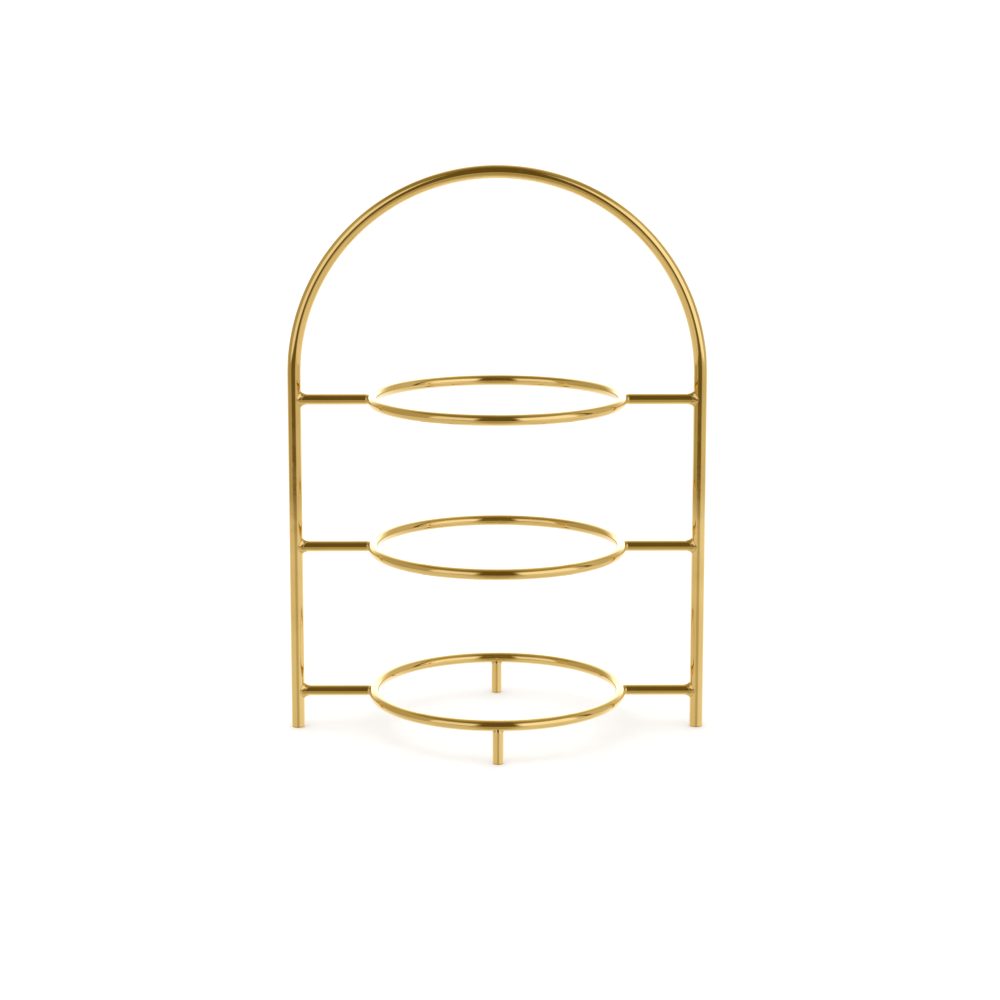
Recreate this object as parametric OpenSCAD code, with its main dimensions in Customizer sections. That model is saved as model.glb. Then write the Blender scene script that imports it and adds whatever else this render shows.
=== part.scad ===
// Three-tier plate stand in polished gold-plated steel.
// One arched tube forms both legs and the carrying handle. Three equal wire rings hold the plates.
// A pair of short struts welds each ring to the legs, and the lowest ring also has a front and a rear foot.
// X runs from leg to leg, Y from front to rear, and the origin is on the floor under the rings.

/* [Arch] */
// Outside diameter of the arch tube
arch_tube_d = 10; // [9:0.5:12]
// Wall thickness of the arch tube
arch_wall = 1; // [0.8:0.1:1.5]
// Distance between the centre lines of the two legs
leg_spacing = 300; // [280:5:320]
// Height of the tube's centre line at the top of the arch
arch_centre_h = 418; // [408:1:460]
// Chamfer round the bottom edge of each leg
leg_chamfer = 0.5; // [0.2:0.1:0.7]
// Length of the plug pressed into each leg
plug_length = 9; // [5:0.5:15]
// Chamfer that leads the plug into the bore
plug_chamfer = 0.5; // [0.2:0.1:1]
// Height of the plug's face above the bottom of the leg
plug_recess = 0.3; // [0.1:0.1:1]

/* [Rings] */
// Diameter of the wire of the rings, struts and feet
wire_d = 8; // [7:0.5:8.5]
// Diameter of each ring, on the centre line of its wire
ring_d = 185; // [160:1:200]
// Height of the lowest ring's centre line
bottom_ring_h = 28; // [22:1:34]
// Height from one ring to the next
tier_pitch = 111; // [90:1:112]
// Chamfer round the bottom edge of each foot
foot_chamfer = 0.4; // [0.2:0.1:0.8]

/* [Welds] */
// How far a leg weld spreads up and down the leg from the strut
leg_weld_spread = 1.4; // [0.8:0.1:1.8]
// How far a leg weld reaches along the strut
leg_weld_reach = 3; // [2:0.1:4]
// How far a leg weld stands out at the strut's sides
leg_weld_side = 0.9; // [0.7:0.1:0.9]
// How far a ring weld spreads along the ring, on each side of its strut or foot
ring_weld_spread = 1; // [0.6:0.1:1.4]
// How far a ring weld reaches along its strut or foot
ring_weld_reach = 2; // [1.5:0.1:3]

/* [Hidden] */
$fn = 96;
// Steps round a ring, fine enough for the small welds that are shaped to it
RING_STEPS = 240;
GOLD = [0.84, 0.69, 0.38];
WELD_GOLD = [0.80, 0.64, 0.34];
PLUG_GREY = [0.78, 0.77, 0.74];

arch_r = arch_tube_d / 2;
bore_r = arch_r - arch_wall;
leg_x = leg_spacing / 2;
spring_h = arch_centre_h - leg_x;
wire_r = wire_d / 2;
ring_r = ring_d / 2;
tier_h = [for (tier = [0:2]) bottom_ring_h + tier * tier_pitch];
BOTTOM = 0;
MIDDLE = 1;
TOP = 2;
LEFT = -1;
RIGHT = 1;
FRONT = -1;
REAR = 1;
// Thickness that a weld keeps at its thin edge, so that it never runs out to nothing
weld_toe = 0.15;
// How far a cutting shape runs past what it cuts
past = 1;

// A round bar standing on the floor, its bottom edge chamfered
module standing_bar(r, h, chamfer) {
    cylinder(r1 = r - chamfer, r2 = r, h = chamfer);
    translate([0, 0, chamfer])
        cylinder(r = r, h = h - chamfer);
}

// The half circle at the top of the arch, as a bar of radius r
module arch_bend(r) {
    translate([0, 0, spring_h])
        rotate([90, 0, 0])
            rotate_extrude(angle = 180)
                translate([leg_x, 0])
                    circle(r = r);
}

// The arch tube: two straight legs joined by a half circle, hollow from end to end
module arch_tube() {
    color(GOLD)
        difference() {
            union() {
                for (side = [LEFT, RIGHT])
                    translate([side * leg_x, 0, 0])
                        standing_bar(arch_r, spring_h, leg_chamfer);
                arch_bend(arch_r);
            }
            for (side = [LEFT, RIGHT])
                translate([side * leg_x, 0, -past])
                    cylinder(r = bore_r, h = spring_h + past);
            arch_bend(bore_r);
        }
}

// The plug that closes the bottom of one leg, its upper edge chamfered to lead it into the bore
module leg_plug(side) {
    color(PLUG_GREY)
        translate([side * leg_x, 0, plug_recess + plug_length])
            mirror([0, 0, 1])
                standing_bar(bore_r, plug_length, plug_chamfer);
}

// The round wire of one ring
module ring_wire(tier) {
    translate([0, 0, tier_h[tier]])
        rotate_extrude($fn = RING_STEPS)
            translate([ring_r, 0])
                circle(r = wire_r);
}

module ring(tier) {
    color(GOLD)
        ring_wire(tier);
}

// The leg's outer surface as a solid bar, for cutting what meets it
module leg_cutter(side) {
    translate([side * leg_x, 0, -past])
        cylinder(r = arch_r, h = spring_h + past);
}

// The strut's round bar from the ring's centre line to the leg's
module strut_bar(tier, side) {
    translate([side * ring_r, 0, tier_h[tier]])
        rotate([0, side * 90, 0])
            cylinder(r = wire_r, h = leg_x - ring_r);
}

// A strut, with its ends shaped to sit on the ring and on the leg
module strut(tier, side) {
    color(GOLD)
        difference() {
            strut_bar(tier, side);
            ring_wire(tier);
            leg_cutter(side);
        }
}

// The foot's round bar from the floor to the ring's centre line
module foot_bar(end) {
    translate([0, end * ring_r, 0])
        standing_bar(wire_r, bottom_ring_h, foot_chamfer);
}

// A foot, with its top shaped to sit under the lowest ring
module foot(end) {
    color(GOLD)
        difference() {
            foot_bar(end);
            ring_wire(BOTTOM);
        }
}

// A solid bell round the Z axis. It is flared at the bottom, where it meets a surface at height base,
// and sweeps in along one hollow arc to the bar's radius at its top.
module weld_bell(base, spread, reach) {
    rise = spread - weld_toe;
    arc_r = (rise * rise + reach * reach) / (2 * rise);
    rotate_extrude()
        difference() {
            square([wire_r + spread, base + reach]);
            translate([wire_r + weld_toe + arc_r, base + reach])
                circle(r = arc_r);
        }
}

// The weld round a strut where it meets a leg. Its sides are rounded in plan, to run off the round leg.
module leg_weld(tier, side) {
    bead_r = wire_r + leg_weld_side;
    bead_h = 2 * (wire_r + leg_weld_spread);
    color(WELD_GOLD)
        difference() {
            intersection() {
                translate([side * leg_x, 0, tier_h[tier]])
                    rotate([0, -side * 90, 0])
                        weld_bell(arch_r, leg_weld_spread, leg_weld_reach);
                translate([side * (leg_x - arch_r), 0, tier_h[tier]])
                    cylinder(r = bead_r, h = bead_h, center = true);
            }
            strut_bar(tier, side);
            leg_cutter(side);
        }
}

// The two fillets beside a bar that leaves the ring along +Z, in a frame whose X axis runs along the ring
module ring_fillets() {
    intersection() {
        weld_bell(wire_r, ring_weld_spread, ring_weld_reach);
        translate([0, 0, wire_r])
            rotate([0, 90, 0])
                cylinder(r = wire_r - weld_toe, h = 4 * wire_r, center = true);
    }
}

// The weld between a strut and its ring
module ring_weld(tier, side) {
    color(WELD_GOLD)
        difference() {
            translate([side * ring_r, 0, tier_h[tier]])
                rotate([0, side * 90, 0])
                    rotate([0, 0, 90])
                        ring_fillets();
            strut_bar(tier, side);
            ring_wire(tier);
        }
}

// The weld between a foot and the lowest ring
module foot_weld(end) {
    color(WELD_GOLD)
        difference() {
            translate([0, end * ring_r, bottom_ring_h])
                rotate([180, 0, 0])
                    ring_fillets();
            foot_bar(end);
            ring_wire(BOTTOM);
        }
}

arch_tube();
ring(BOTTOM);  // bottom_ring
ring(MIDDLE);  // middle_ring
ring(TOP);  // top_ring
strut(BOTTOM, LEFT);  // bottom_left_strut
strut(BOTTOM, RIGHT);  // bottom_right_strut
strut(MIDDLE, LEFT);  // middle_left_strut
strut(MIDDLE, RIGHT);  // middle_right_strut
strut(TOP, LEFT);  // top_left_strut
strut(TOP, RIGHT);  // top_right_strut
foot(FRONT);  // front_foot
foot(REAR);  // rear_foot
leg_plug(LEFT);  // left_leg_plug
leg_plug(RIGHT);  // right_leg_plug
leg_weld(BOTTOM, LEFT);  // bottom_left_leg_weld
leg_weld(BOTTOM, RIGHT);  // bottom_right_leg_weld
leg_weld(MIDDLE, LEFT);  // middle_left_leg_weld
leg_weld(MIDDLE, RIGHT);  // middle_right_leg_weld
leg_weld(TOP, LEFT);  // top_left_leg_weld
leg_weld(TOP, RIGHT);  // top_right_leg_weld
ring_weld(BOTTOM, LEFT);  // bottom_left_ring_weld
ring_weld(BOTTOM, RIGHT);  // bottom_right_ring_weld
ring_weld(MIDDLE, LEFT);  // middle_left_ring_weld
ring_weld(MIDDLE, RIGHT);  // middle_right_ring_weld
ring_weld(TOP, LEFT);  // top_left_ring_weld
ring_weld(TOP, RIGHT);  // top_right_ring_weld
foot_weld(FRONT);  // front_foot_weld
foot_weld(REAR);  // rear_foot_weld
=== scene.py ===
"""Looks for the three-tier plate stand: polished gold tube and wire, welds and plugs, on a white floor."""

import math

import bmesh
import bpy
import numpy as np
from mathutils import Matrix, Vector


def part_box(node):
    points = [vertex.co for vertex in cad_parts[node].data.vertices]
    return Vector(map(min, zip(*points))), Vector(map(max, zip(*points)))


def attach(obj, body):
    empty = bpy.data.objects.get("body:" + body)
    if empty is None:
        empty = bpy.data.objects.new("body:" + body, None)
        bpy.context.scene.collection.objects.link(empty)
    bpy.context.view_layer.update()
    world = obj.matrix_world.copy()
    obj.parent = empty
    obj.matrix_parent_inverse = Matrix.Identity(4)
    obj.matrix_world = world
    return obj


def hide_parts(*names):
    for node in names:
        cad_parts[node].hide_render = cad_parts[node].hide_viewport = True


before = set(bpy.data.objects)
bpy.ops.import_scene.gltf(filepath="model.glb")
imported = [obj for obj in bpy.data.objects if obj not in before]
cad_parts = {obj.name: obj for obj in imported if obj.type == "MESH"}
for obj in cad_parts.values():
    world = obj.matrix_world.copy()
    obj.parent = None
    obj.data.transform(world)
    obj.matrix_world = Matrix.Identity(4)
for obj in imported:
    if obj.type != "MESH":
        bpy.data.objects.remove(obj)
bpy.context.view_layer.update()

MM = 0.001
TURN = 2 * math.pi
TIERS = ("bottom", "middle", "top")
SIDES = (("left", -1), ("right", 1))
ENDS = (("front", -1), ("rear", 1))

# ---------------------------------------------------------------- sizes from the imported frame

arch_low, arch_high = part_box("arch_tube")
ARCH_R = (arch_high.y - arch_low.y) / 2
LEG_X = arch_high.x - ARCH_R
SPRING_Z = arch_high.z - ARCH_R - LEG_X

ring_low, ring_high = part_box("bottom_ring")
WIRE_R = (ring_high.z - ring_low.z) / 2
RING_R = ring_high.y - WIRE_R
RING_Z = [sum(corner.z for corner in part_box(tier + "_ring")) / 2 for tier in TIERS]

plug_low, plug_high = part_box("left_leg_plug")
BORE_R = (plug_high.y - plug_low.y) / 2

# ---------------------------------------------------------------- other sizes

# How far the cut end of a wire is sunk into the ring that it is welded to
BUTT_DEPTH = 0.35 * MM

# How finely each surface is divided, round it and along it
AROUND_ARCH = 72
AROUND_WIRE = 64
AROUND_WELD = 72
AROUND_PLUG = 48
ROUND_RING = 300
ROUND_BEND = 240
ALONG_LEG = 60
ALONG_STRUT = 40
ALONG_FOOT = 30


# ---------------------------------------------------------------- meshes

def add_piece(name, node, material, points, faces, uvs=None, flat_from=None):
    """A mesh that stands for one CAD node and rides on the stand's only body. It is shaded smooth,
    apart from the faces from flat_from on, which are cut ends."""
    mesh = bpy.data.meshes.new(name)
    mesh.from_pydata([tuple(p) for p in points], [], faces)
    if uvs is not None:
        layer = mesh.uv_layers.new(name="lengthwise")
        for loop in mesh.loops:
            layer.data[loop.index].uv = uvs[loop.vertex_index]
    for polygon in mesh.polygons:
        polygon.use_smooth = flat_from is None or polygon.index < flat_from
    piece = bpy.data.objects.new(name, mesh)
    bpy.context.scene.collection.objects.link(piece)
    mesh.materials.append(material)
    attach(piece, "root")
    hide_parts(node)
    return piece


def add_bar(name, node, material, points, columns, flip=False, uvs=None, end_uvs=((0, 0), (0, 0))):
    """A piece made of closed loops of points, one after another, with a flat face over each end."""
    faces = grid_faces(len(points) // columns, columns, flip=flip)
    sides = len(faces)
    points, faces = capped(points, faces, columns, flip)
    if uvs is not None:
        uvs = uvs + list(end_uvs)
    add_piece(name, node, material, points, faces, uvs, flat_from=sides)


def grid_faces(rows, columns, close_rows=False, flip=False):
    """Quads between rows of points, where each row is a closed loop."""
    faces = []
    for i in range(rows if close_rows else rows - 1):
        for j in range(columns):
            a, b = i * columns + j, i * columns + (j + 1) % columns
            c, d = (i + 1) % rows * columns + (j + 1) % columns, (i + 1) % rows * columns + j
            faces.append((a, d, c, b) if flip else (a, b, c, d))
    return faces


def capped(points, faces, columns, flip):
    """Closes the first and last loops, each with a fan round its middle. Returns the points and faces."""
    points = list(points)
    first, last = points[:columns], points[-columns:]
    start = len(points) - columns
    for base, loop, reverse in ((0, first, not flip), (start, last, flip)):
        middle = len(points)
        points.append(np.mean(loop, axis=0))
        for j in range(columns):
            a, b = base + j, base + (j + 1) % columns
            faces.append((middle, b, a) if reverse else (middle, a, b))
    return points, faces


def turn_outward(piece):
    """Makes the faces of a closed piece face outward."""
    shape = bmesh.new()
    shape.from_mesh(piece.data)
    bmesh.ops.recalc_face_normals(shape, faces=shape.faces)
    shape.to_mesh(piece.data)
    shape.free()


def turns(steps):
    """The angles of equal steps round a circle."""
    return [TURN * step / steps for step in range(steps)]


def way_round(turn, radius):
    """Length along a circle back to where it starts, the shorter way, so that a pattern has no seam."""
    return abs(math.remainder(turn, TURN)) * radius


def soft_edge(radius, steps):
    """Places round a softly broken edge, as distances in from its first face and its second. They start on
    the second face and end on the first."""
    angles = [math.radians(90 * step / steps) for step in range(steps + 1)]
    return [(radius * (1 - math.sin(angle)), radius * (1 - math.cos(angle))) for angle in angles]


def curve_between(start, control, stop, steps):
    """Points along one smooth curve that leaves start toward control and arrives at stop from it."""
    shares = [step / steps for step in range(steps + 1)]
    return [(1 - t) ** 2 * start + 2 * t * (1 - t) * control + t * t * stop for t in shares]


# ---------------------------------------------------------------- arch and rings

def lip_rows(outer, inner, edge):
    """(distance from the cut end, radius) round a softly broken rim, from the bore to the outside."""
    bore_side = [(depth, inner + across) for depth, across in soft_edge(edge, 4)]
    outside = [(depth, outer - across) for across, depth in soft_edge(edge, 4)]
    return bore_side + outside


def arch_place(distance):
    """Centre of the arch tube, the direction across it and how far round the bend it is (0 on a leg, 1 at
    the top), at a distance along it from the left leg's end."""
    bend = math.pi * LEG_X
    if distance < SPRING_Z:
        return np.array([-LEG_X, 0, distance]), np.array([-1.0, 0, 0]), 0.0
    if distance > SPRING_Z + bend:
        return np.array([LEG_X, 0, 2 * SPRING_Z + bend - distance]), np.array([1.0, 0, 0]), 0.0
    angle = (distance - SPRING_Z) / LEG_X
    out = np.array([-math.cos(angle), 0, math.sin(angle)])
    return np.array([0, 0, SPRING_Z]) + LEG_X * out, out, math.sin(angle)


def build_arch(material):
    """The bent tube: open ends with a broken rim, a short length of bore, and a slightly flattened bend."""
    bore_depth = 12 * MM
    rim = 0.25 * MM
    plain_from = 2 * MM
    # The share of its width that the tube loses in the bend, and how fast that comes in above the legs
    flattening, onset = 0.012, 6
    bend = math.pi * LEG_X
    length = 2 * SPRING_Z + bend
    end_rows = [(bore_depth, BORE_R)] + lip_rows(ARCH_R, BORE_R, rim)
    leg_rows = [(s, ARCH_R) for s in np.linspace(plain_from, SPRING_Z, ALONG_LEG)]
    bend_rows = [(s, ARCH_R) for s in np.linspace(SPRING_Z, SPRING_Z + bend, ROUND_BEND)[1:-1]]
    far_rows = [(length - s, radius) for s, radius in reversed(end_rows + leg_rows)]
    points, uvs = [], []
    for s, radius in end_rows + leg_rows + bend_rows + far_rows:
        centre, out, bent = arch_place(s)
        squash = 1 - flattening * min(1.0, onset * bent)
        for turn in turns(AROUND_ARCH):
            across = radius * math.cos(turn) * (squash if radius == ARCH_R else 1) * out
            points.append(centre + across + np.array([0, radius * math.sin(turn), 0]))
            uvs.append((s, way_round(turn, ARCH_R)))
    add_bar("arch", "arch_tube", material, points, AROUND_ARCH, flip=True, uvs=uvs)


def build_ring(tier, height, material):
    """One closed wire ring."""
    points, uvs = [], []
    for angle in turns(ROUND_RING):
        out = np.array([math.cos(angle), math.sin(angle), 0])
        for turn in turns(AROUND_WIRE):
            lift = np.array([0, 0, height + WIRE_R * math.sin(turn)])
            points.append((RING_R + WIRE_R * math.cos(turn)) * out + lift)
            uvs.append((way_round(angle, RING_R), way_round(turn, WIRE_R)))
    faces = grid_faces(ROUND_RING, AROUND_WIRE, close_rows=True, flip=True)
    add_piece(tier + "_plate_ring", tier + "_ring", material, points, faces, uvs)


# ---------------------------------------------------------------- struts and feet

def ring_face_x(y, z):
    """X of the ring's outer surface at a place across its strut."""
    rho = RING_R + math.sqrt(max(WIRE_R**2 - z**2, 0))
    return math.sqrt(rho**2 - y**2)


def ring_under_z(x, y):
    """Height of the lowest ring's underside above a place on the floor."""
    across = math.hypot(x, y) - RING_R
    return RING_Z[0] - math.sqrt(max(WIRE_R**2 - across**2, 0))


def leg_face_x(y):
    """X of the leg's surface that faces its strut."""
    return LEG_X - math.sqrt(max(ARCH_R**2 - y**2, 0))


def build_strut(tier, height, side_name, side, material):
    """A straight wire, cut square where it butts on the ring and shaped to the leg at its other end."""
    start = ring_face_x(0, 0) - BUTT_DEPTH
    points, uvs = [], []
    for i in range(ALONG_STRUT):
        share = i / (ALONG_STRUT - 1)
        for turn in turns(AROUND_WIRE):
            y, z = WIRE_R * math.cos(turn), WIRE_R * math.sin(turn)
            x = start + (leg_face_x(y) - start) * share
            points.append(np.array([side * x, y, height + z]))
            uvs.append((x, way_round(turn, WIRE_R)))
    name = f"{tier}_{side_name}_"
    add_bar(
        name + "wire", name + "strut", material, points, AROUND_WIRE,
        flip=side < 0, uvs=uvs, end_uvs=((RING_R, 0), (LEG_X, 0)))


def build_foot(end_name, end, material):
    """A short upright wire with a broken bottom edge, cut square where it butts on the ring."""
    edge = 0.35 * MM
    top = RING_Z[0] - WIRE_R + BUTT_DEPTH
    rows = [(z, WIRE_R - across) for across, z in soft_edge(edge, 5)]
    rows += [(edge + (top - edge) * k / ALONG_FOOT, WIRE_R) for k in range(1, ALONG_FOOT + 1)]
    points, uvs = [], []
    for z, radius in rows:
        for turn in turns(AROUND_WIRE):
            x, y = radius * math.cos(turn), radius * math.sin(turn)
            points.append(np.array([x, end * RING_R + y, z]))
            uvs.append((z, way_round(turn, WIRE_R)))
    name = end_name + "_foot"
    add_bar(name + "_wire", name, material, points, AROUND_WIRE, uvs=uvs)


# ---------------------------------------------------------------- welds

def unevenness(turn, waves, depth):
    """A factor near 1 that wavers round a weld. The first wave has two crests, the next three, and so on."""
    return 1 + sum(depth * math.sin((k + 2) * turn + wave) for k, wave in enumerate(waves))


def fillet_section(on_base, corner, on_bar, sink):
    """A closed loop round a fillet's section: along its hollow face, then back under the corner it fills."""
    # Where the curve's control point lies: 0 is on the corner, and 1 is halfway between the fillet's edges
    fullness = 0.5
    control = corner + fullness * ((on_base + on_bar) / 2 - corner)
    loop = curve_between(on_base, control, on_bar, steps=10)
    loop.append(corner + 0.5 * (on_bar - corner) + sink)
    loop.append(corner + sink)
    loop.append(corner + 0.5 * (on_base - corner) + sink)
    return loop


def build_leg_weld(tier, height, side_name, side, material, rng):
    """The bead round a strut where it meets its leg: taller than it is wide, and faintly uneven."""
    spread_z, spread_y, reach = 2.1 * MM, 0.8 * MM, 4.2 * MM
    # How much of its reach the bead loses at the strut's sides
    side_loss = 0.35
    # How far its edges lie under the surfaces of the leg and the strut, and how far its back does
    edge_sink, back_sink = 0.01 * MM, 0.05 * MM
    waves = rng.uniform(0, TURN, 4)
    points = []
    for turn in turns(AROUND_WELD):
        c, s = math.cos(turn), math.sin(turn)
        uneven = unevenness(turn, waves, depth=0.035)
        y_base = (WIRE_R + spread_y * uneven) * c
        z_base = (WIRE_R + spread_z * uneven) * s
        bar_reach = reach * uneven * (1 - side_loss * c**2)
        bar_r = WIRE_R - edge_sink
        corner_x = leg_face_x(WIRE_R * c)
        on_base = np.array([leg_face_x(y_base) + edge_sink, y_base, z_base])
        corner = np.array([corner_x, WIRE_R * c, WIRE_R * s])
        on_bar = np.array([corner_x - bar_reach, bar_r * c, bar_r * s])
        sink = np.array([back_sink, -back_sink * c, -back_sink * s])
        section = fillet_section(on_base, corner, on_bar, sink)
        points += [point * [side, 1, 1] + [0, 0, height] for point in section]
    faces = grid_faces(AROUND_WELD, len(points) // AROUND_WELD, close_rows=True, flip=side < 0)
    name = f"{tier}_{side_name}_leg_"
    add_piece(name + "bead", name + "weld", material, points, faces)


def butt_weld(place, material, name, node, rng):
    """The weld round the end of a wire that butts on a ring, dressed to a smooth hollow. It spreads along
    the ring at the wire's sides and draws in over the wire's top and bottom, where the ring curves away.
    place(along, across, out, on_ring) gives the point that far along the ring and across it, and out from
    the ring's surface or, where on_ring is False, from the flat plane that just touches the ring."""
    side_spread, draw_in, reach = 0.8 * MM, 0.5 * MM, 0.9 * MM
    waves = rng.uniform(0, TURN, 3)
    points = []
    for turn in turns(AROUND_WELD):
        c, s = math.cos(turn), math.sin(turn)
        uneven = unevenness(turn, waves, depth=0.04)
        along, across = (WIRE_R + side_spread * uneven) * c, (WIRE_R - draw_in) * s
        on_ring = np.array(place(along, across, 0, True))
        on_wire = np.array(place(WIRE_R * c, WIRE_R * s, reach * uneven, False))
        control = np.array(place(WIRE_R * c, (WIRE_R - 0.35 * draw_in) * s, 0.1 * MM, False))
        points += curve_between(on_ring, control, on_wire, steps=9)
        in_wire = place(0.9 * WIRE_R * c, 0.9 * WIRE_R * s, 0.8 * reach, False)
        in_ring = place(0.7 * WIRE_R * c, 0.6 * WIRE_R * s, -0.2 * MM, True)
        under_edge = place(0.98 * along, 0.95 * across, -0.25 * MM, True)
        points += [np.array(hidden) for hidden in (in_wire, in_ring, under_edge)]
    faces = grid_faces(AROUND_WELD, len(points) // AROUND_WELD, close_rows=True)
    turn_outward(add_piece(name, node, material, points, faces))


def build_ring_weld(tier, height, side_name, side, material, rng):
    """The weld where a strut butts on the outside of its ring."""
    def place(along, across, out, on_ring):
        face = ring_face_x(along, across) if on_ring else RING_R + WIRE_R
        return side * (face + out), along, height + across

    name = f"{tier}_{side_name}_ring_"
    butt_weld(place, material, name + "bead", name + "weld", rng)


def build_foot_weld(end_name, end, material, rng):
    """The weld where a foot butts on the underside of the lowest ring."""
    def place(along, across, out, on_ring):
        y = end * RING_R + across
        face = ring_under_z(along, y) if on_ring else RING_Z[0] - WIRE_R
        return along, y, face - out

    name = f"{end_name}_foot_"
    butt_weld(place, material, name + "bead", name + "weld", rng)


# ---------------------------------------------------------------- plugs

def build_plug(side_name, side, material):
    """A moulded plug: a flat face with a soft rim and a shallow round recess, inside the leg's bore."""
    clearance = 0.02 * MM
    radius = BORE_R - clearance
    face_z, top_z = plug_low.z, plug_high.z
    # Each is a list of (radius, height), from the middle of the face outward and then up
    recess = [
        (0.9 * MM, face_z + 0.35 * MM),
        (1.25 * MM, face_z + 0.32 * MM),
        (1.4 * MM, face_z + 0.05 * MM),
        (1.55 * MM, face_z),
    ]
    rim = [
        (radius - 0.5 * MM, face_z),
        (radius - 0.15 * MM, face_z + 0.08 * MM),
        (radius, face_z + 0.4 * MM),
    ]
    lead_in = [(radius, top_z - 0.5 * MM), (radius - 0.5 * MM, top_z)]
    points = []
    for r, z in recess + rim + lead_in:
        for turn in turns(AROUND_PLUG):
            points.append(np.array([side * LEG_X + r * math.cos(turn), r * math.sin(turn), z]))
    name = side_name + "_end_plug"
    add_bar(name, side_name + "_leg_plug", material, points, AROUND_PLUG)


# ---------------------------------------------------------------- shader nodes

def new_material(name):
    material = bpy.data.materials.new(name)
    material.use_nodes = True
    tree = material.node_tree
    return material, tree, tree.nodes["Principled BSDF"]


def add_node(tree, kind, **settings):
    made = tree.nodes.new("ShaderNode" + kind)
    for key, value in settings.items():
        setattr(made, key, value)
    return made


def feed(tree, socket, value):
    """Gives a socket a number, or links another node's output to it."""
    if isinstance(value, (int, float)):
        socket.default_value = value
    else:
        tree.links.new(value, socket)


def scaled(tree, source, scale):
    mapping = add_node(tree, "Mapping")
    mapping.inputs["Scale"].default_value = scale
    tree.links.new(source, mapping.inputs["Vector"])
    return mapping.outputs["Vector"]


def noise(tree, vector, scale, detail, roughness=0.5):
    """Soft noise, with about scale cells to each unit of the vector."""
    made = add_node(tree, "TexNoise")
    made.inputs["Scale"].default_value = scale
    made.inputs["Detail"].default_value = detail
    made.inputs["Roughness"].default_value = roughness
    tree.links.new(vector, made.inputs["Vector"])
    return made.outputs["Fac"]


def stretched_noise(tree, vector, cells, detail):
    """Soft noise, with its own number of cells to each unit along each axis of the vector."""
    return noise(tree, scaled(tree, vector, cells), 1, detail)


def to_range(tree, value, source, target=(0, 1)):
    """Turns one range of a value smoothly into another, and holds it at the ends."""
    made = add_node(tree, "MapRange", interpolation_type="SMOOTHSTEP")
    for name, number in zip(("From Min", "From Max", "To Min", "To Max"), (*source, *target)):
        made.inputs[name].default_value = number
    tree.links.new(value, made.inputs["Value"])
    return made.outputs["Result"]


def combine(tree, operation, a, b):
    made = add_node(tree, "Math", operation=operation)
    for socket, value in zip(made.inputs, (a, b)):
        feed(tree, socket, value)
    return made.outputs[0]


def product(tree, a, b):
    return combine(tree, "MULTIPLY", a, b)


def total(tree, *values):
    """The sum of two or more values."""
    result = values[0]
    for value in values[1:]:
        result = combine(tree, "ADD", result, value)
    return result


def mix_levels(tree, mask, below, above):
    """The level above where the mask is 1, and the level below where it is 0."""
    made = add_node(tree, "Mix", data_type="FLOAT")
    for socket, value in zip((made.inputs[0], made.inputs[2], made.inputs[3]), (mask, below, above)):
        feed(tree, socket, value)
    return made.outputs[0]


def blend_colours(tree, factor, a, b):
    made = add_node(tree, "Mix", data_type="RGBA")
    tree.links.new(factor, made.inputs["Factor"])
    for name, value in (("A", a), ("B", b)):
        socket = next(s for s in made.inputs if s.name == name and s.type == "RGBA")
        if isinstance(value, tuple):
            socket.default_value = (*value, 1)
        else:
            tree.links.new(value, socket)
    return next(s for s in made.outputs if s.type == "RGBA")


def bump(tree, height, distance, strength, after=None):
    made = add_node(tree, "Bump")
    made.inputs["Distance"].default_value = distance
    made.inputs["Strength"].default_value = strength
    tree.links.new(height, made.inputs["Height"])
    if after is not None:
        tree.links.new(after, made.inputs["Normal"])
    return made.outputs["Normal"]


# ---------------------------------------------------------------- materials

# Linear colours
GOLD_DEEP, GOLD_LIGHT = (0.80, 0.565, 0.225), (0.86, 0.625, 0.265)
# The second colour on the next line darkens the gold where it meets the floor: painted contact shade
GOLD_RUBBED, GOLD_CONTACT_SHADE = (0.88, 0.72, 0.42), (0.66, 0.43, 0.13)
WELD_DEEP, WELD_LIGHT = (0.74, 0.50, 0.19), (0.84, 0.60, 0.25)
PLUG_DEEP, PLUG_LIGHT, PLUG_SCUFFED = (0.56, 0.55, 0.52), (0.66, 0.65, 0.62), (0.42, 0.41, 0.39)
FLOOR_DEEP, FLOOR_LIGHT = (0.885, 0.885, 0.885), (0.90, 0.90, 0.90)


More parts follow.
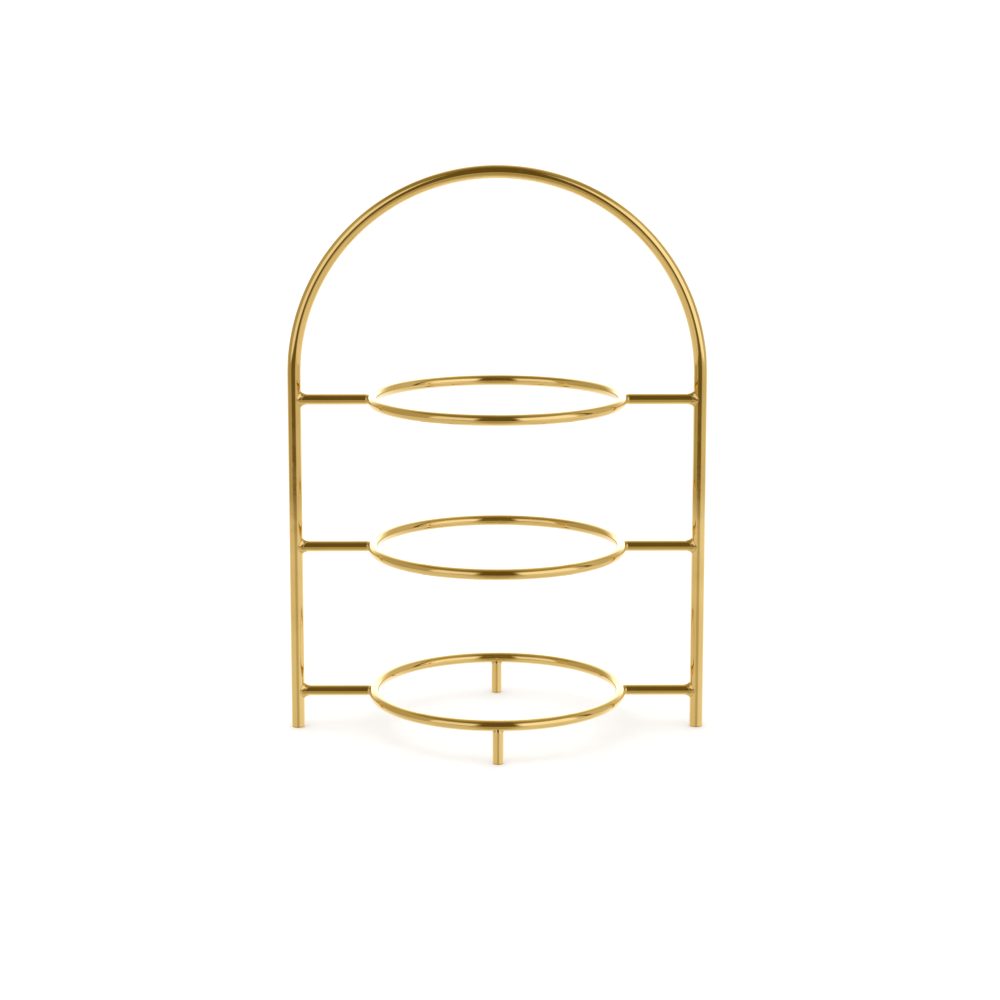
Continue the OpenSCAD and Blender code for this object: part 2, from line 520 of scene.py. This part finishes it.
def polished_gold():
    """Mirror-polished gold plating: cloudy tone, faint haze, lengthwise polishing lines and hair scratches.
    It is rubbed paler along its edges and smudged most at the top of the arch. In a thin band at the floor
    it is darkened with painted contact shade, and it is also rougher there."""
    material, tree, shader = new_material("polished gold plating")
    shader.inputs["Metallic"].default_value = 1.0
    place = add_node(tree, "TexCoord").outputs["Object"]
    along = add_node(tree, "UVMap", uv_map="lengthwise").outputs["UV"]
    axes = add_node(tree, "SeparateXYZ")
    tree.links.new(place, axes.inputs[0])
    height = axes.outputs["Z"]

    cloud = to_range(tree, noise(tree, place, scale=18, detail=4), (0.35, 0.65))
    rubbed = to_range(tree, add_node(tree, "NewGeometry").outputs["Pointiness"], (0.515, 0.56))
    ragged = product(tree, noise(tree, place, scale=900, detail=2), -0.6 * MM)
    # a thin, ragged band just above the floor: painted contact shade in the colour, and extra roughness from
    # scuffing
    contact_shade_and_scuff = to_range(tree, total(tree, height, ragged), (0.2 * MM, 0.8 * MM), (1, 0))
    tone = blend_colours(tree, cloud, GOLD_DEEP, GOLD_LIGHT)
    tone = blend_colours(tree, rubbed, tone, GOLD_RUBBED)
    tone = blend_colours(tree, contact_shade_and_scuff, tone, GOLD_CONTACT_SHADE)
    tree.links.new(tone, shader.inputs["Base Color"])

    haze = noise(tree, place, scale=45, detail=5, roughness=0.6)
    haze = to_range(tree, haze, (0.42, 0.72), (0.035, 0.095))
    smudges = noise(tree, place, scale=130, detail=4, roughness=0.65)
    smudges = to_range(tree, smudges, (0.56, 0.66), (0, 0.07))
    # a hand leaves more and more smudges over this stretch, up to just below the arch's top
    handled = (arch_high.z - 93 * MM, arch_high.z - 13 * MM)
    smudges = product(tree, smudges, to_range(tree, height, handled, (0.25, 1)))
    lines = stretched_noise(tree, along, cells=(60, 9000, 1), detail=2)
    line_haze = to_range(tree, lines, (0.3, 0.7), (-0.008, 0.02))
    scratches = stretched_noise(tree, place, cells=(900, 900, 160), detail=1)
    scratches = to_range(tree, scratches, (0.66, 0.7), (0, 0.05))
    rubbed_haze = product(tree, rubbed, 0.08)
    scuffed_haze = product(tree, contact_shade_and_scuff, 0.2)
    roughness = total(tree, haze, smudges, line_haze, scratches, rubbed_haze, scuffed_haze)
    tree.links.new(roughness, shader.inputs["Roughness"])

    dents = noise(tree, place, scale=30, detail=2)
    normal = bump(tree, dents, distance=0.25 * MM, strength=0.05)
    normal = bump(tree, lines, distance=0.01 * MM, strength=0.10, after=normal)
    tree.links.new(normal, shader.inputs["Normal"])
    return material


def plated_weld():
    """Weld metal under the same plating: a little deeper in tone, with soft ripples and grinding marks."""
    material, tree, shader = new_material("plated weld")
    shader.inputs["Metallic"].default_value = 1.0
    place = add_node(tree, "TexCoord").outputs["Object"]
    cloud = to_range(tree, noise(tree, place, scale=260, detail=3), (0.35, 0.65))
    tree.links.new(blend_colours(tree, cloud, WELD_DEEP, WELD_LIGHT), shader.inputs["Base Color"])
    roughness = to_range(tree, noise(tree, place, scale=700, detail=4), (0.35, 0.7), (0.09, 0.2))
    tree.links.new(roughness, shader.inputs["Roughness"])
    ripples = noise(tree, place, scale=420, detail=2)
    grinding = stretched_noise(tree, place, cells=(2500, 2500, 700), detail=2)
    normal = bump(tree, ripples, distance=0.12 * MM, strength=0.25)
    normal = bump(tree, grinding, distance=0.02 * MM, strength=0.2, after=normal)
    tree.links.new(normal, shader.inputs["Normal"])
    return material


def plug_plastic():
    """Natural moulded polyethylene, scuffed where it has slid on a table."""
    material, tree, shader = new_material("plug plastic")
    place = add_node(tree, "TexCoord").outputs["Object"]
    mottle = to_range(tree, noise(tree, place, scale=900, detail=3), (0.3, 0.7))
    scuffs = to_range(tree, stretched_noise(tree, place, cells=(4000, 900, 900), detail=2), (0.58, 0.68))
    tone = blend_colours(tree, mottle, PLUG_DEEP, PLUG_LIGHT)
    tone = blend_colours(tree, scuffs, tone, PLUG_SCUFFED)
    tree.links.new(tone, shader.inputs["Base Color"])
    roughness = to_range(tree, mottle, (0, 1), (0.45, 0.6))
    roughness = total(tree, roughness, product(tree, scuffs, 0.2))
    tree.links.new(roughness, shader.inputs["Roughness"])
    shader.inputs["Subsurface Weight"].default_value = 0.15
    grain = noise(tree, place, scale=3000, detail=3)
    tree.links.new(bump(tree, grain, distance=0.02 * MM, strength=0.3), shader.inputs["Normal"])
    return material


def matt_white():
    """The floor's own matt white, very faintly mottled."""
    material, tree, shader = new_material("floor")
    place = add_node(tree, "TexCoord").outputs["Object"]
    grain = to_range(tree, noise(tree, place, scale=40, detail=4), (0.3, 0.7))
    tree.links.new(blend_colours(tree, grain, FLOOR_DEEP, FLOOR_LIGHT), shader.inputs["Base Color"])
    shader.inputs["Roughness"].default_value = 0.9
    shader.inputs["Specular IOR Level"].default_value = 0.1
    return material


# ---------------------------------------------------------------- studio

def studio_level(tree, azimuth, elevation):
    """How bright the studio is in a direction, where 1 is white. Angles are in degrees: azimuth 0 is
    toward the camera, with + to the right, and elevation 0 is level."""
    off_axis = combine(tree, "ABSOLUTE", azimuth, 0)

    def ramp(value, start, stop, low=0.0, high=1.0):
        """Low on start's side and high on stop's side, with a smooth change between the two."""
        if start > stop:
            start, stop, low, high = stop, start, high, low
        return to_range(tree, value, (start, stop), (low, high))

    def both(a, b):
        return product(tree, a, b)

    def band(value, low, high, soft):
        """1 from low to high and 0 outside, changing over soft on each side of both."""
        return both(ramp(value, low - soft, low + soft), ramp(value, high - soft, high + soft, 1, 0))

    # side walls, the left one darker, and the bright backdrop behind the stand
    walls = ramp(azimuth, -30, 30, 0.46, 0.62)
    backdrop = both(ramp(off_axis, 146, 166, 1.1, 2.2), ramp(elevation, 34, 8, 0.5, 1))
    level = mix_levels(tree, ramp(off_axis, 130, 152), walls, backdrop)

    # a softbox on each side of the camera, with a dark gap between them
    left_softbox = both(band(azimuth, -61, -20, 3), ramp(elevation, 48, 34))
    right_softbox = both(band(azimuth, 20, 74, 3), ramp(elevation, 50, 36))
    camera_gap = ramp(off_axis, 20, 14)
    level = mix_levels(tree, left_softbox, level, 1.0)
    level = mix_levels(tree, right_softbox, level, 1.2)
    level = mix_levels(tree, camera_gap, level, 0.105)

    # a narrow dark gap in the right wall
    wall_gap = both(band(azimuth, 83, 91, 1.5), band(elevation, 2, 40, 3))
    level = mix_levels(tree, wall_gap, level, 0.12)

    # the dark ceiling, darkest over the camera
    ceiling = total(tree, ramp(azimuth, -30, 30, 0.24, 0.34), ramp(off_axis, 120, 150, 0, 0.3))
    ceiling = mix_levels(tree, ramp(off_axis, 48, 22), ceiling, 0.11)
    level = mix_levels(tree, ramp(elevation, 40, 56), level, ceiling)
    level = mix_levels(tree, ramp(elevation, 66, 84), level, 0.2)

    # the room beyond the table's edge, dark in front and bright behind
    dark_front = band(azimuth, -42, 22, 2.5)
    beyond = mix_levels(tree, dark_front, ramp(azimuth, 10, 45, 0.42, 0.68), 0.125)
    beyond = mix_levels(tree, ramp(off_axis, 100, 140), beyond, 1.1)
    level = mix_levels(tree, ramp(elevation, -4, -6), level, beyond)

    # the white table, a little brighter on the right and behind, and shaded in front of the stand
    right_glow = both(ramp(azimuth, 10, 45, 0, 0.14), ramp(elevation, -36, -20))
    rear_glow = ramp(off_axis, 100, 145, 0, 0.34)
    shade = both(ramp(elevation, -88, -34, 0.1, 1), ramp(elevation, -28, -14, 0.38, 0.24))
    shade = both(shade, ramp(off_axis, 34, 8))
    table = combine(tree, "SUBTRACT", total(tree, 0.76, right_glow, rear_glow), shade)
    return mix_levels(tree, ramp(elevation, -11.6, -12), level, table)


def build_world():
    """A studio that is plain white to the camera and as light. Only in the polished metal do its softboxes,
    gaps, ceiling and table show."""
    # Its plain white as the camera sees it, and as it lights the stand and the floor
    seen_white, lighting_white = (1.03, 1.03, 1.03), (1.22, 1.22, 1.22)
    # Dim parts of the studio are warm, as bare walls lit by the softboxes are
    red_power, blue_power = 0.86, 1.6
    degrees = 180 / math.pi

    world = bpy.data.worlds.new("studio")
    bpy.context.scene.world = world
    world.use_nodes = True
    tree = world.node_tree
    tree.nodes.clear()
    direction = add_node(tree, "SeparateXYZ")
    tree.links.new(add_node(tree, "TexCoord").outputs["Generated"], direction.inputs[0])
    x, y, z = direction.outputs
    azimuth = combine(tree, "ARCTAN2", x, product(tree, y, -1.0))
    elevation = combine(tree, "ARCSINE", z, 0)
    level = studio_level(tree, product(tree, azimuth, degrees), product(tree, elevation, degrees))
    mirrored = add_node(tree, "CombineColor")
    red = combine(tree, "POWER", level, red_power)
    blue = combine(tree, "MINIMUM", combine(tree, "POWER", level, blue_power), level)
    for socket, value in zip(mirrored.inputs, (red, level, blue)):
        tree.links.new(value, socket)

    rays = add_node(tree, "LightPath")
    plain = blend_colours(tree, rays.outputs["Is Camera Ray"], lighting_white, seen_white)
    colour = blend_colours(tree, rays.outputs["Is Glossy Ray"], plain, mirrored.outputs[0])
    background = add_node(tree, "Background")
    tree.links.new(colour, background.inputs["Color"])
    output = add_node(tree, "OutputWorld")
    tree.links.new(background.outputs[0], output.inputs["Surface"])


def build_floor():
    """A wide round floor. The metal doesn't mirror it, but the table that the studio itself describes."""
    radius, corners = 30.0, 96
    points = [(radius * math.cos(turn), radius * math.sin(turn), 0.0) for turn in turns(corners)]
    mesh = bpy.data.meshes.new("floor")
    mesh.from_pydata(points, [], [tuple(range(corners))])
    mesh.materials.append(matt_white())
    floor = bpy.data.objects.new("floor", mesh)
    floor.visible_glossy = False
    bpy.context.scene.collection.objects.link(floor)


def build_light():
    """One broad soft light overhead, for a faint shadow under the stand."""
    light = bpy.data.lights.new("overhead_softbox", "AREA")
    light.shape = "DISK"
    light.size = 1.6
    light.energy = 6.0
    lamp = bpy.data.objects.new("overhead_softbox", light)
    lamp.location = (-0.3, -0.4, 1.9)
    lamp.rotation_euler = (math.radians(-12), math.radians(-9), 0)
    lamp.visible_glossy = False
    bpy.context.scene.collection.objects.link(lamp)


def build_camera():
    """A long lens a little higher than the arch, looking slightly down, almost square to the stand."""
    # Metres from the stand's middle and above the floor, then radians down and to the side
    distance, height = 1.787, 0.5412
    pitch, yaw = 0.1619, 0.0061
    camera = bpy.data.cameras.new("camera")
    camera.sensor_width = 36.0
    camera.lens = 88.19
    camera.shift_x = 0.0027
    camera.shift_y = -0.1
    camera.clip_start = 0.05
    camera.clip_end = 100.0
    holder = bpy.data.objects.new("camera", camera)
    holder.location = (-distance * math.sin(yaw), -distance * math.cos(yaw), height)
    holder.rotation_euler = (math.pi / 2 - pitch, 0, -yaw)
    bpy.context.scene.collection.objects.link(holder)
    bpy.context.scene.camera = holder


# ---------------------------------------------------------------- the scene

bpy.context.scene.view_settings.view_transform = "Standard"
bpy.context.scene.view_settings.look = "None"

build_camera()
build_world()
build_floor()
build_light()

gold = polished_gold()
weld = plated_weld()
plastic = plug_plastic()
rng = np.random.default_rng(7)

build_arch(gold)
for tier, height in zip(TIERS, RING_Z):
    build_ring(tier, height, gold)
    for side_name, side in SIDES:
        build_strut(tier, height, side_name, side, gold)
        build_leg_weld(tier, height, side_name, side, weld, rng)
        build_ring_weld(tier, height, side_name, side, weld, rng)
for end_name, end in ENDS:
    build_foot(end_name, end, gold)
    build_foot_weld(end_name, end, weld, rng)
for side_name, side in SIDES:
    build_plug(side_name, side, plastic)
